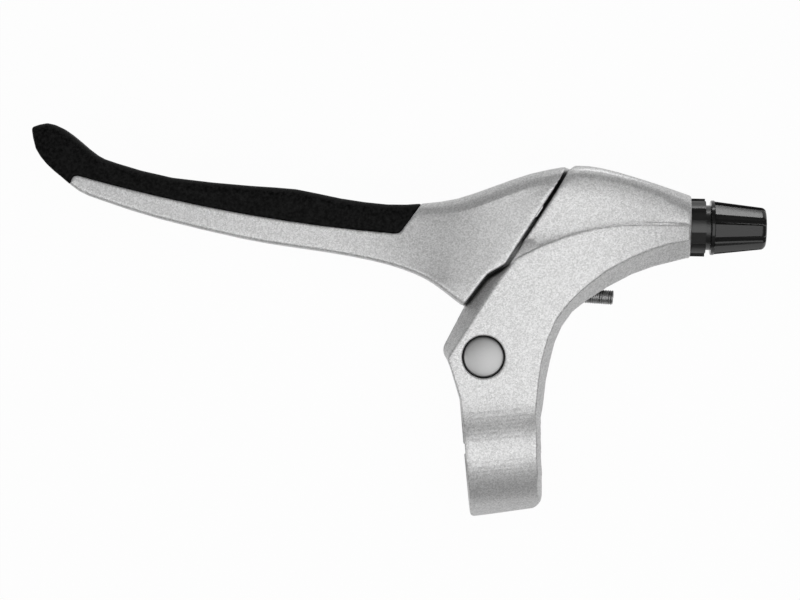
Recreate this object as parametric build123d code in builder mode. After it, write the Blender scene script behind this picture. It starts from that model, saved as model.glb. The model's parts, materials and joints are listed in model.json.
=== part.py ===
from build123d import *
import os
from math import atan, cos, radians, sin, tan

# A bicycle brake lever for a flat handlebar: a cast bracket with a split bar clamp, a cast two-to-four
# finger lever with a soft pad, a plain-bearing pivot, a reach screw and a cable adjuster.
# Millimetres. The origin is the centre of the bar clamp. +X runs along the bar towards the adjuster,
# +Y points forward, away from the rider, and +Z points up, out of the face that the rider sees.

# End of the blade, which sets the reach of the whole lever
tip_x = -97.1
tip_y = 78.9

# Bar clamp
bar_radius = 11.1
ring_wall = 3.5
ring_left = -8.2
ring_corner = 0.9
crest_rise = 1.8
saddle_reach = 5.2
split_width = 2.0

# Bracket
arm_half = 11.6
bevel_depth = 4.0
arm_bow_start = 9.5
arm_bow_radius = 146.0
ear_thickness = 4.6
fork_end_x = 19.0
fork_throat = 9.4
ear_gap = 0.5
neck_gap = 0.8
gap_lean = 7.0
gap_level = 11.3

# Pivot
pivot_x = -2.4
pivot_y = 20.4
pin_radius = 3.0
pin_head_radius = 4.45
pin_head_edge = 1.1
pin_dome_height = 0.5
pin_dome_rings = 2
pin_fit = 0.03
head_recess_depth = 1.4
head_recess_gap = 0.25
boss_radius = 6.4
boss_gap = 0.6
bush_wall = 1.0
bush_stand = 0.3
bush_length = 5.0
bush_press = 0.02
running_clearance = 0.05
thrust_clearance = 0.1
pivot_screw_radius = 2.0
pivot_screw_head_radius = 4.0
pivot_screw_head_height = 2.0
pivot_screw_reach = 7.0
pivot_screw_key = 2.5
screw_head_sink = 0.2
pin_end_gap = 0.3
thread_end_gap = 0.8

# Reach screw
reach_radius = 1.65
reach_length = 16.0
reach_angle = -9.0
reach_tip_x = 11.6
reach_tip_y = 33.3
reach_key = 1.5
stop_gap = 0.1
stop_face = 4.4
tip_clearance = 1.2
screw_edge = 0.4

# Clamp bolt
bolt_radius = 2.5
bolt_length = 16.0
bolt_head_radius = 4.25
bolt_head_height = 5.0
bolt_key = 4.0
bolt_cover = 3.2
lug_wall = 2.5
lug_reach = 9.2
washer_radius = 5.0
washer_thickness = 1.0
thread_clearance = 0.05
bolt_clearance = 0.25

# Cable adjuster
adjuster_x = 45.7
adjuster_y = 44.8
adjuster_angle = -6.0
barrel_radius = 4.95
barrel_engaged = 9.0
barrel_bore_depth = 10.5
spigot_radius = 3.7
lock_radius = 6.4
lock_thickness = 3.2
lock_notches = 7
lock_notch_width = 3.0
lock_phase = -27.0
lock_notch_depth = 0.7
lock_seat_gap = 0.1
neck_length = 1.1
knob_large_radius = 6.05
knob_small_radius = 4.7
knob_length = 12.3
knob_collar = 0.9
knob_round = 1.2
knob_lip = 2.0
lip_gap = 0.2
knob_sides = 28
knob_flutes = 7
flute_floor = 1.2
flute_mouth = 3.0
flute_depth = 0.9
flute_phase = -14.6
housing_radius = 3.1
housing_depth = 8.0
cable_hole_radius = 1.4
cable_way_radius = 4.0

# Cable end in the lever
nipple_x = 4.5
nipple_radius = 3.6
nipple_roof = 2.0
cable_slot_width = 2.4
cable_slot_roof = 1.2

ring_radius = bar_radius + ring_wall
fork_half = arm_half - ear_thickness
ring_crest = arm_half + crest_rise
pivot = Vector(pivot_x, pivot_y)
pivot_axis = Axis(pivot, (0, 0, 1))
pivot_section = Plane(pivot, x_dir=(1, 0, 0), z_dir=(0, -1, 0))
far = 200.0

adjuster_dir = Vector(cos(radians(adjuster_angle)), sin(radians(adjuster_angle)))
adjuster_origin = Vector(adjuster_x, adjuster_y)
adjuster_axis = Axis(adjuster_origin, adjuster_dir)
adjuster_plane = Plane(adjuster_origin, x_dir=(0, 0, 1), z_dir=adjuster_dir)
adjuster_side = Plane(adjuster_origin, x_dir=adjuster_dir, z_dir=(0, 0, 1))

reach_dir = Vector(cos(radians(reach_angle)), sin(radians(reach_angle)))
reach_tip = Vector(reach_tip_x, reach_tip_y)
reach_up = Vector(-reach_dir.Y, reach_dir.X)
reach_plane = Plane(reach_tip, x_dir=(0, 0, 1), z_dir=reach_dir)

# The hand-shaped run from the tip of the blade through the neck to the end of the nose.
# Each section stands on the line from an outer to an inner outline point, with its half width along Z, then the
# length and height of the rounding at its outer edge, then those at its inner edge.
# The points of the tip's sections are measured from the tip.
tip_sections = [
    ((0.3, 0.6), (0.0, 0.0), 3.6, 0.2, 1.2, 0.2, 0.6),
    ((3.6, 1.1), (0.6, -4.3), 5.4, 1.6, 1.8, 0.6, 0.8),
    ((7.0, -0.4), (2.8, -8.0), 6.0, 2.2, 2.2, 0.6, 0.8),
    ((10.3, -3.4), (5.9, -11.2), 6.3, 2.2, 2.2, 0.6, 0.8),
    ((13.8, -6.8), (9.5, -14.6), 6.4, 2.2, 2.2, 0.6, 0.8),
    ((18.2, -9.1), (14.4, -17.1), 6.4, 2.2, 2.2, 0.6, 0.8),
]
blade_sections = [
    ((-67.1, 65.6), (-71.0, 56.9), 6.4, 2.2, 2.2, 0.6, 0.8),
    ((-50.0, 62.3), (-53.6, 51.1), 6.4, 2.2, 2.2, 0.6, 0.8),
    ((-40.2, 60.7), (-43.9, 48.5), 6.4, 2.2, 2.2, 0.6, 0.8),
    ((-30.5, 57.8), (-34.2, 46.2), 6.5, 2.2, 2.2, 0.6, 0.8),
    ((-20.5, 55.6), (-24.9, 43.6), 6.9, 2.6, 2.2, 0.6, 0.8),
    ((-12.4, 55.1), (-18.3, 41.1), 7.8, 3.8, 2.6, 0.7, 0.9),
    ((-4.9, 55.5), (-13.6, 38.6), 9.0, 5.4, 3.0, 0.8, 1.0),
    ((3.3, 57.5), (-10.4, 36.1), 10.2, 6.6, 3.5, 0.8, 1.0),
    ((11.4, 59.5), (-7.6, 33.5), 10.7, 7.0, 3.6, 0.8, 1.0),
    ((19.4, 60.4), (-5.0, 31.2), 10.9, 7.0, 3.6, 0.8, 1.0),
    ((26.5, 60.6), (-2.5, 28.9), 10.9, 7.0, 3.6, 0.8, 1.0),
]
nose_radius = 6.9
nose_up = Vector(-adjuster_dir.Y, adjuster_dir.X)
nose_top = adjuster_origin + nose_up * nose_radius
nose_foot = adjuster_origin - nose_up * nose_radius
nose_sections = [
    ((14.5, 60.2), (7.0, 42.0), 10.9, 7.0, 3.6, 8.5, 6.0),
    ((21.6, 60.4), (10.5, 37.0), 10.9, 6.8, 3.5, 14.0, 9.0),
    ((27.0, 59.4), (19.0, 37.2), 10.4, 6.0, 3.0, 12.8, 8.8),
    ((33.7, 57.0), (29.4, 38.0), 9.4, 5.2, 2.5, 11.0, 8.0),
    ((40.5, 54.2), (38.6, 39.0), 8.1, 4.8, 2.8, 9.4, 7.2),
    ((nose_top.X, nose_top.Y), (nose_foot.X, nose_foot.Y), nose_radius, 5.5, 4.5, 7.8, 6.6),
]

# How many steps lie between two given sections, and how many narrow flats dress a rounded edge
run_steps = 2
outer_flats = 6
blade_flats = 2
panel_flats = 8

# Plan points that bracket and lever share along the gap between them, from the nose down to the ear
gap_top = (28.0, 69.5)
gap_knee = (5.2, 40.2)
gap_heel = (0.2, 37.9)
gap_foot = (-5.3, 31.9)
gap_tail = (-13.4, 23.1)
gap_mouth = (20.3, 60.4)
gap_mouth_radius = 0.7

# Plan of the seam between blade and pad, from the tip to the neck
pad_foot = (tip_x + 6.8, tip_y - 14.3)
pad_toe = (tip_x + 8.5, tip_y - 10.7)
pad_middle = (-52.9, 56.5)
pad_heel = (-18.4, 48.9)
pad_top = (-11.6, 56.6)
pad_toe_round = 1.2
pad_heel_round = 1.8

# Plan points where the tongue grows out of the neck
tongue_root = [(-3.4, 35.2), (4.5, 45.0), (13.9, 50.2)]
tongue_corner = 0.8

# Plan of the arm: the crease under the nose panel, the waist below the ear, and the end of the ring
crease = [(45.4, 45.2), (33.2, 46.5), (24.9, 46.4), (16.4, 44.8)]
ear_waist = (-9.6, 18.0)
ring_heel = (5.6, -13.8)
ring_turn_point = (7.0, -12.8)

# The bevelled flank on the rider's right, from the ring up to the nose: at each place, where the bevel leaves the
# face, where it meets the side, and how far down it goes
flank = [
    ((6.9, -11.0), (7.8, -11.0), 3.0),
    ((7.2, -6.0), (8.2, -6.0), 2.4),
    ((7.5, 0.0), (8.5, 0.0), 2.0),
    ((7.7, 3.5), (8.7, 3.4), 2.0),
    ((7.9, 6.9), (9.2, 6.6), 2.6),
    ((8.4, 10.2), (10.0, 10.0), 3.6),
    ((9.1, 14.0), (10.8, 13.9), 4.0),
    ((10.2, 18.5), (12.1, 18.2), 4.0),
    ((11.9, 23.0), (13.5, 22.2), 4.0),
    ((14.1, 27.1), (15.4, 25.6), 4.0),
    ((17.5, 30.8), (18.0, 28.6), 4.0),
    ((21.6, 34.0), (21.4, 30.8), 4.0),
    ((26.2, 36.9), (26.0, 33.2), 4.2),
    ((31.9, 39.3), (31.8, 35.6), 4.4),
    ((37.1, 40.9), (36.8, 36.9), 4.4),
    ((41.3, 41.7), (41.2, 37.6), 4.2),
    ((45.3, 41.9), (44.9, 38.2), 3.8),
]


def smooth_run(sections):
    """The given sections with more between them, on smooth curves that pass through the given ones."""
    rows = [(*outer, *inner, *sizes) for outer, inner, *sizes in sections]
    rows = [rows[0], *rows, rows[-1]]
    run = []
    for before, start, end, after in zip(rows, rows[1:], rows[2:], rows[3:]):
        for step in range(run_steps):
            t = step / run_steps
            shares = (
                (-(t**3) + 2 * t**2 - t) / 2,
                (3 * t**3 - 5 * t**2 + 2) / 2,
                (-3 * t**3 + 4 * t**2 + t) / 2,
                (t**3 - t**2) / 2,
            )
            run.append([sum(s * v for s, v in zip(shares, values)) for values in zip(before, start, end, after)])
    run.append(rows[-1])
    return [((x, y), (inner_x, inner_y), *sizes) for x, y, inner_x, inner_y, *sizes in run]


def quarter_round(centre, length, height, side, flats):
    """Points of one rounded edge in equal turns, from the side of the section up to its face."""
    turns = [radians(90 * step / flats) for step in range(flats + 1)]
    return [(centre.X + side * length * cos(turn), centre.Y + height * sin(turn)) for turn in turns]


def run_section(inner_flats, outer, inner, half, outer_length, outer_height, inner_length, inner_height):
    """One section of the run, on the upright plane through an outer and an inner outline point."""
    span = Vector(*outer) - Vector(*inner)
    half_span = span.length / 2
    middle = (Vector(*outer) + Vector(*inner)) / 2
    outer_centre = Vector(half_span - outer_length, half - outer_height)
    inner_centre = Vector(inner_length - half_span, half - inner_height)
    upper = quarter_round(outer_centre, outer_length, outer_height, 1, outer_flats)
    upper += reversed(quarter_round(inner_centre, inner_length, inner_height, -1, inner_flats))
    lower = [(x, -y) for x, y in reversed(upper)]
    with BuildSketch(Plane(middle, x_dir=span, z_dir=Vector(-span.Y, span.X))) as section:
        with BuildLine():
            Polyline(*upper, *lower, close=True)
        make_face()
    return section.sketch


def gap_plan(height, growth, shift):
    """Plan of the bracket's side of the gap at one height, with its run above the knee moved towards the lever."""
    run = Vector(*gap_top) - Vector(*gap_knee)
    heel_run = Vector(*gap_heel) - Vector(*gap_knee)
    away = Vector(-run.Y, run.X).normalized()
    top = Vector(*gap_top) + away * shift
    knee = Vector(*gap_knee) + heel_run * (shift / heel_run.dot(away))
    with BuildSketch(Plane.XY.offset(height)) as plan:
        with BuildLine():
            Polyline(top, knee, gap_heel, gap_tail, (far, 0), (far, gap_top[1]), close=True)
        make_face()
        if growth > 0:
            offset(amount=growth, kind=Kind.INTERSECTION)
    return plan.sketch


def bracket_side(growth, shift):
    """Everything on the bracket's side of the gap, grown by a clearance and fullest at mid-height."""
    middle_shift = shift + gap_level * tan(radians(gap_lean))
    with BuildPart() as side:
        plans = [
            gap_plan(-gap_level, growth, shift),
            gap_plan(0, growth, middle_shift),
            gap_plan(gap_level, growth, shift),
        ]
        loft(plans, ruled=True)
    return side.part


def pad_plan():
    """Plan of the pad: above the seam on the blade, and everything beyond the blade's own end."""
    with BuildSketch() as plan:
        with BuildLine():
            ThreePointArc(pad_toe, pad_middle, pad_heel)
            Polyline(pad_heel, pad_top, (pad_top[0], far), (-far, far), (-far, pad_foot[1]), pad_foot, pad_toe)
        make_face()
        fillet(plan.vertices().sort_by_distance(pad_toe)[0], pad_toe_round)
        fillet(plan.vertices().sort_by_distance(pad_heel)[0], pad_heel_round)
    return plan.sketch


def arm_plan(height, ear, ear_corner):
    """Plan of the arm and ring at one height: ear edge, ear corner, ring, and the flank back to the nose."""
    foot_left = (ring_left, -ring_radius + ring_corner)
    heel_left = (ring_left + ring_corner, -ring_radius)
    side = [foot for face, foot, depth in flank]
    with BuildSketch(Plane.XY.offset(height)) as plan:
        with BuildLine():
            Polyline(*ear, ear_corner[0])
            ThreePointArc(*ear_corner)
            Polyline(ear_corner[2], ear_waist, (ring_left, bar_radius), foot_left)
            TangentArc(foot_left, heel_left, tangent=(0, -1))
            Line(heel_left, ring_heel)
            ThreePointArc(ring_heel, ring_turn_point, side[0])
            Polyline(*side, crease[0])
            Spline(*crease, ear[0])
        make_face()
    return plan.sketch


def ring_point(share):
    """A point on the upper outline of the ring, seen along the bar, at a share of its radius."""
    return (share * ring_radius, ring_crest * (1 - share**2) ** 0.5)


def arm_top(x, y):
    """Height of the arm's face at a plan point: the round of the ring, the flat, or the bow towards the nose."""
    if y < saddle_end[0]:
        return ring_point(y / ring_radius)[1]
    if x < arm_bow_start:
        return arm_half
    return arm_half - arm_bow_radius + (arm_bow_radius**2 - (x - arm_bow_start) ** 2) ** 0.5


def bevel_section(face, foot, depth):
    """What the bevel takes off at one place of the flank: all above the line from face to side, drawn out both ways."""
    across = Vector(*foot) - Vector(*face)
    top = arm_top(*face)
    with BuildSketch(Plane(face, x_dir=across, z_dir=across.cross(Vector(0, 0, 1)))) as section:
        with BuildLine():
            inside = (-0.5 * across.length, top + 0.5 * depth)
            outside = (1.6 * across.length, top - 1.6 * depth)
            Polyline(inside, (outside[0], inside[1]), outside, close=True)
        make_face()
    return section.sketch


def knob_section(place, radius):
    """Section of the knob at one place along the adjuster."""
    with BuildSketch(adjuster_plane.offset(place)) as section:
        RegularPolygon(radius, knob_sides, rotation=flute_phase)
    return section.sketch


# The two runs, which the gap later parts
tip_run = [
    ((tip_x + outer[0], tip_y + outer[1]), (tip_x + inner[0], tip_y + inner[1]), *sizes)
    for outer, inner, *sizes in tip_sections
]
with BuildPart() as lever_run:
    loft([run_section(blade_flats, *values) for values in smooth_run(tip_run + blade_sections)], ruled=True)

with BuildPart() as nose_run:
    loft([run_section(panel_flats, *values) for values in smooth_run(nose_sections)], ruled=True)

# The arm with its ears and the clamp ring, upper half first, bevelled along the ears by a loft between two plans
saddle_end = ring_point(saddle_reach / ring_radius)
saddle_slope = atan((ring_crest / ring_radius) ** 2 * saddle_reach / saddle_end[1])
saddle_radius = (saddle_end[1] - arm_half) / (1 - cos(saddle_slope))
saddle_y = saddle_reach + saddle_radius * sin(saddle_slope)
bevel_start = arm_half - bevel_depth
arm_foot = arm_plan(
    bevel_start,
    ear=[gap_knee, gap_heel, gap_foot],
    ear_corner=[(-10.2, 24.2), (-10.9, 22.2), (-10.3, 20.4)],
)
arm_face = arm_plan(
    arm_half,
    ear=[(6.4, 41.2), (2.5, 36.9), (-3.0, 30.0)],
    ear_corner=[(-9.6, 21.6), (-10.05, 20.9), (-10.1, 20.0)],
)
flank_sections = [bevel_section(*values) for values in flank]
with BuildPart() as flank_bevel:
    loft(flank_sections, ruled=True)
    extrude(flank_sections[-1], amount=-bevel_depth)
    extrude(flank_sections[0], amount=bevel_depth)

with BuildPart() as arm:
    extrude(arm_foot, amount=-bevel_start)
    loft([arm_foot, arm_face], ruled=True)
    extrude(arm_face, amount=ring_radius)
    # Seen along the bar: flat face, concave saddle, and a ring that is a little flatter than round
    with BuildSketch(Plane.YZ):
        with BuildLine():
            ThreePointArc((-ring_radius, 0), ring_point(-0.9), ring_point(-0.6))
            ThreePointArc(ring_point(-0.6), ring_point(-0.1), saddle_end)
            TangentArc((saddle_y, arm_half), saddle_end, tangent=(-1, 0))
            Polyline((saddle_y, arm_half), (far, arm_half), (far, 0), (-ring_radius, 0))
        make_face()
    extrude(amount=far, both=True, mode=Mode.INTERSECT)
    # Seen from the front: level over the clamp, then bowing down towards the nose
    bow_end = adjuster_x
    bow_height = arm_top(bow_end, adjuster_y)
    with BuildSketch(Plane.XZ):
        with BuildLine():
            TangentArc((arm_bow_start, arm_half), (bow_end, bow_height), tangent=(1, 0))
            Polyline(
                (bow_end, bow_height),
                (bow_end, 0),
                (-far, 0),
                (-far, far),
                (arm_bow_start, far),
                (arm_bow_start, arm_half),
            )
        make_face()
    extrude(amount=far, both=True, mode=Mode.INTERSECT)
    add(flank_bevel.part, mode=Mode.SUBTRACT)
    mirror(about=Plane.XY)

# Bracket
bolt_z = -(bar_radius + bolt_cover + bolt_radius)
lug_radius = bolt_radius + lug_wall
bolt_seat = Plane((0, lug_reach, bolt_z), x_dir=(1, 0, 0), z_dir=(0, 1, 0))
pin_hole = pin_radius + pin_fit
pin_seat = arm_half - head_recess_depth
screw_seat = -arm_half + pivot_screw_head_height + screw_head_sink
slot_radius = boss_radius + boss_gap
wall_middle = reach_tip + reach_dir * (tip_clearance - tongue_corner)
wall_foot = wall_middle - reach_up * (stop_face / 2 + boss_gap)
wall_head = wall_middle + reach_up * stop_face
throat = adjuster_origin + adjuster_dir * ((fork_end_x - adjuster_x) / adjuster_dir.X)
nose_side = bracket_side(0, 0)
with BuildPart() as bracket:
    add(nose_run.part)
    add(nose_side, mode=Mode.INTERSECT)
    add(arm.part)
    # Two lugs for the clamp bolt, in one round-bottomed block until the split parts them
    with BuildSketch(Plane.XZ):
        with Locations((0, bolt_z)):
            Circle(lug_radius)
        with Locations((0, bolt_z / 2)):
            Rectangle(2 * lug_radius, -bolt_z)
    extrude(amount=lug_reach, both=True)
    # Bar bore and split
    with BuildSketch(Plane.YZ):
        Circle(bar_radius)
        with Locations((0, bolt_z)):
            Rectangle(split_width, -2 * bolt_z)
    extrude(amount=far, both=True, mode=Mode.SUBTRACT)
    # Bolt hole: clear in the front lug, tapped in the rear one
    with BuildSketch(bolt_seat):
        Circle(bolt_radius + bolt_clearance)
    extrude(amount=-lug_reach, mode=Mode.SUBTRACT)
    with BuildSketch(bolt_seat):
        Circle(bolt_radius + thread_clearance)
    extrude(amount=-2 * lug_reach, mode=Mode.SUBTRACT)
    # Fork between the ears: round the boss and behind the stop, then up to the mouth of the cable way
    with BuildSketch():
        with Locations(pivot):
            Circle(slot_radius)
        with Locations(wall_foot, wall_head):
            Circle(tongue_corner)
        make_hull()
        with BuildLine():
            Polyline(
                (pivot_x - far, pivot_y),
                (pivot_x, pivot_y),
                wall_head,
                throat - nose_up * fork_throat / 2,
                throat + nose_up * fork_throat / 2,
                (pivot_x - far, throat.Y + fork_throat / 2),
                close=True,
            )
        make_face()
    extrude(amount=fork_half, both=True, mode=Mode.SUBTRACT)
    # Tapped bore for the adjuster, and the cable way behind it
    with BuildSketch(adjuster_plane):
        Circle(barrel_radius + running_clearance)
    extrude(amount=-barrel_bore_depth, mode=Mode.SUBTRACT)
    with BuildSketch(adjuster_plane):
        Circle(cable_way_radius)
    extrude(amount=-(adjuster_origin - throat).length, mode=Mode.SUBTRACT)
    # Pivot holes with a recess for the head on each side
    with BuildSketch():
        with Locations(pivot):
            Circle(pin_hole)
    extrude(amount=far, both=True, mode=Mode.SUBTRACT)
    with BuildSketch(Plane.XY.offset(pin_seat)):
        with Locations(pivot):
            Circle(pin_head_radius + head_recess_gap)
    extrude(amount=ring_radius, mode=Mode.SUBTRACT)
    with BuildSketch(Plane.XY.offset(screw_seat)):
        with Locations(pivot):
            Circle(pivot_screw_head_radius + head_recess_gap)
    extrude(amount=-ring_radius, mode=Mode.SUBTRACT)
    # Tapped hole for the reach screw
    with BuildSketch(reach_plane):
        Circle(reach_radius + thread_clearance)
    extrude(amount=reach_length, mode=Mode.SUBTRACT)
    # The gap opens out at its outer end
    with BuildSketch():
        with Locations(gap_mouth):
            RegularPolygon(gap_mouth_radius, 8)
    extrude(amount=gap_level, both=True, mode=Mode.SUBTRACT)

# Lever blade: the run up to the gap, less the pad, with the tongue and boss that turn between the ears
tongue_half = fork_half - bush_stand - thrust_clearance
bush_bore = pin_radius + running_clearance
bush_radius = bush_bore + bush_wall
stop_middle = reach_tip - reach_dir * (stop_gap + tongue_corner)
stop_half = stop_face / 2 - tongue_corner
nipple = adjuster_origin + adjuster_dir * ((nipple_x - adjuster_x) / adjuster_dir.X)
lever_clearance = bracket_side(ear_gap, neck_gap - ear_gap)
with BuildPart() as lever_blade:
    add(lever_run.part)
    add(lever_clearance, mode=Mode.SUBTRACT)
    extrude(pad_plan(), amount=far, both=True, mode=Mode.SUBTRACT)
    with BuildSketch():
        with Locations(gap_mouth):
            RegularPolygon(gap_mouth_radius, 8)
    extrude(amount=gap_level, both=True, mode=Mode.SUBTRACT)
    with BuildSketch():
        with Locations(pivot):
            Circle(boss_radius)
        with Locations(*tongue_root, stop_middle + reach_up * stop_half, stop_middle - reach_up * stop_half):
            Circle(tongue_corner)
        make_hull()
    extrude(amount=tongue_half, both=True)
    with BuildSketch():
        with Locations(pivot):
            Circle(bush_radius + bush_press)
    extrude(amount=far, both=True, mode=Mode.SUBTRACT)
    # Seat for the cable end, open below, with a slot that the cable drops into
    with BuildSketch(Plane.XY.offset(nipple_roof)):
        with Locations(nipple):
            Circle(nipple_radius)
    extrude(amount=-far, mode=Mode.SUBTRACT)
    with BuildSketch(Plane(nipple + Vector(0, 0, cable_slot_roof), x_dir=adjuster_dir, z_dir=(0, 0, 1))):
        Rectangle(far, cable_slot_width, align=(Align.MIN, Align.CENTER))
    extrude(amount=-far, mode=Mode.SUBTRACT)

# Grip pad: the finger side and the tip of the same run
with BuildPart() as grip_pad:
    add(lever_run.part)
    extrude(pad_plan(), amount=far, both=True, mode=Mode.INTERSECT)

# Pivot pin: domed head, plain shank, tapped from below
pin_foot = screw_seat + pin_end_gap
pin_top = pin_seat + pin_head_edge + pin_dome_height
dome_radii = [pin_head_radius * (1 - ring / pin_dome_rings) for ring in range(pin_dome_rings)]
dome = [(radius, pin_top - pin_dome_height * (radius / pin_head_radius) ** 2) for radius in dome_radii]
with BuildPart() as pivot_pin:
    with BuildSketch(pivot_section):
        with BuildLine():
            Polyline(
                (0, pin_foot),
                (pin_radius, pin_foot),
                (pin_radius, pin_seat),
                (pin_head_radius, pin_seat),
                *dome,
                (0, dome[-1][1]),
                close=True,
            )
        make_face()
    revolve(axis=pivot_axis)
    with BuildSketch(Plane.XY.offset(pin_foot)):
        with Locations(pivot):
            Circle(pivot_screw_radius + thread_clearance)
    extrude(amount=pivot_screw_reach, mode=Mode.SUBTRACT)

# Pivot screw, from the underside into the pin
with BuildPart() as pivot_screw:
    with BuildSketch(Plane.XY.offset(screw_seat)):
        with Locations(pivot):
            Circle(pivot_screw_head_radius)
    extrude(amount=-pivot_screw_head_height)
    chamfer(pivot_screw.edges().group_by(Axis.Z)[0], screw_edge)
    with BuildSketch(Plane.XY.offset(screw_seat)):
        with Locations(pivot):
            Circle(pivot_screw_radius)
    extrude(amount=pivot_screw_reach - thread_end_gap)
    with BuildSketch(Plane.XY.offset(screw_seat - pivot_screw_head_height)):
        with Locations(pivot):
            RegularPolygon(pivot_screw_key / 2, 6, major_radius=False)
    extrude(amount=pivot_screw_key / 2, mode=Mode.SUBTRACT)

# Plain bushes, pressed into the boss from above and below, which stand a little proud of it
with BuildPart() as upper_bush:
    with BuildSketch(Plane.XY.offset(tongue_half + bush_stand)):
        with Locations(pivot):
            Circle(bush_radius)
            Circle(bush_bore, mode=Mode.SUBTRACT)
    extrude(amount=-bush_length)

with BuildPart() as lower_bush:
    add(mirror(upper_bush.part, about=Plane.XY))

# Reach screw: a headless socket screw
with BuildPart() as reach_screw:
    with BuildSketch(reach_plane):
        Circle(reach_radius)
    extrude(amount=reach_length)
    chamfer(reach_screw.edges().filter_by(GeomType.CIRCLE).sort_by(Axis.X)[-1], screw_edge)
    with BuildSketch(reach_plane.offset(reach_length)):
        RegularPolygon(reach_key / 2, 6, major_radius=False)
    extrude(amount=-reach_key, mode=Mode.SUBTRACT)

# Clamp bolt with its washer
with BuildPart() as clamp_washer:
    with BuildSketch(bolt_seat):
        Circle(washer_radius)
        Circle(bolt_radius + bolt_clearance, mode=Mode.SUBTRACT)
    extrude(amount=washer_thickness)

with BuildPart() as clamp_bolt:
    with BuildSketch(bolt_seat.offset(washer_thickness)):
        Circle(bolt_head_radius)
    extrude(amount=bolt_head_height)
    chamfer(clamp_bolt.edges().group_by(Axis.Y)[-1], screw_edge)
    with BuildSketch(bolt_seat.offset(washer_thickness)):
        Circle(bolt_radius)
    extrude(amount=-bolt_length)
    with BuildSketch(bolt_seat.offset(washer_thickness + bolt_head_height)):
        RegularPolygon(bolt_key / 2, 6, major_radius=False)
    extrude(amount=-bolt_head_height / 2, mode=Mode.SUBTRACT)

# Adjuster barrel: threaded outside, with the seat for the cable housing in its outer end
shoulder = lock_seat_gap + lock_thickness + neck_length
knob_start = shoulder + thrust_clearance
knob_end = knob_start + knob_length
barrel_end = knob_end - knob_lip - thrust_clearance
with BuildPart() as adjuster_barrel:
    with BuildSketch(adjuster_plane.offset(-barrel_engaged)):
        Circle(barrel_radius)
    extrude(amount=barrel_engaged + shoulder)
    with BuildSketch(adjuster_plane.offset(shoulder)):
        Circle(spigot_radius)
    extrude(amount=barrel_end - shoulder)
    with BuildSketch(adjuster_plane.offset(barrel_end)):
        Circle(housing_radius)
    extrude(amount=-housing_depth, mode=Mode.SUBTRACT)
    with BuildSketch(adjuster_plane.offset(barrel_end)):
        Circle(cable_hole_radius)
    extrude(amount=-far, mode=Mode.SUBTRACT)

# Lock ring: a notched nut against the end of the nose
with BuildPart() as lock_ring:
    with BuildSketch(adjuster_plane.offset(lock_seat_gap)):
        Circle(lock_radius)
        Circle(barrel_radius + running_clearance, mode=Mode.SUBTRACT)
        with PolarLocations(lock_radius, lock_notches, start_angle=lock_phase):
            Rectangle(2 * lock_notch_depth, lock_notch_width, mode=Mode.SUBTRACT)
    extrude(amount=lock_thickness)

# Adjuster knob: a tapered sleeve on the barrel, with flutes that fade out towards its rounded end
flute_start = knob_start + knob_collar
flute_end = knob_end - knob_round
knob_shoulder = knob_round * (1 - cos(radians(45)))
knob_sections = [
    knob_section(flute_start, knob_large_radius),
    knob_section(flute_end, knob_small_radius),
    knob_section(knob_end - knob_shoulder, knob_small_radius - knob_shoulder),
    knob_section(knob_end, knob_small_radius - knob_round),
]
flute_head = adjuster_side.from_local_coords((flute_start, knob_large_radius - flute_depth, 0))
flute_tail = adjuster_side.from_local_coords((flute_end, knob_small_radius, 0))
flute_run = Vector(*flute_tail) - Vector(*flute_head)
flute_brim = flute_mouth + (flute_mouth - flute_floor)
with BuildPart() as flute:
    with BuildSketch(Plane(flute_head, x_dir=(0, 0, 1), z_dir=flute_run)):
        with BuildLine():
            Polyline(
                (-flute_floor / 2, 0),
                (flute_floor / 2, 0),
                (flute_brim / 2, -2 * flute_depth),
                (-flute_brim / 2, -2 * flute_depth),
                close=True,
            )
        make_face()
    extrude(amount=flute_run.length)

with BuildPart() as adjuster_knob:
    loft(knob_sections, ruled=True)
    turns = [flute_phase + 90 + 360 / knob_flutes * number for number in range(knob_flutes)]
    add([flute.part.rotate(adjuster_axis, turn) for turn in turns], mode=Mode.SUBTRACT)
    with BuildSketch(adjuster_plane.offset(knob_start)):
        Circle(knob_large_radius)
    extrude(amount=knob_collar)
    with BuildSketch(adjuster_plane.offset(knob_start)):
        Circle(spigot_radius + running_clearance)
    extrude(amount=knob_length - knob_lip, mode=Mode.SUBTRACT)
    with BuildSketch(adjuster_plane.offset(knob_start)):
        Circle(housing_radius + lip_gap)
    extrude(amount=knob_length, mode=Mode.SUBTRACT)

pieces = {
    "bracket": bracket,
    "lever_blade": lever_blade,
    "grip_pad": grip_pad,
    "pivot_pin": pivot_pin,
    "pivot_screw": pivot_screw,
    "upper_bush": upper_bush,
    "lower_bush": lower_bush,
    "reach_screw": reach_screw,
    "clamp_washer": clamp_washer,
    "clamp_bolt": clamp_bolt,
    "adjuster_barrel": adjuster_barrel,
    "lock_ring": lock_ring,
    "adjuster_knob": adjuster_knob,
}
os.makedirs("parts", exist_ok=True)
for name, piece in pieces.items():
    piece.part.label = name
    export_step(piece.part, f"parts/{name}.step")
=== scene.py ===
# %% [markdown]
# A bicycle brake lever, dressed for a studio photograph.
# The solids come from CAD as a fixed frame, so this lesson adds what solids lack: paint with a fine sparkle,
# grained rubber, glossy plastic, turned threads, and the light that shows them.

# %% Load the frame
import json
import math

import bmesh
import bpy
import numpy as np
from mathutils import Matrix, Vector


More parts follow.
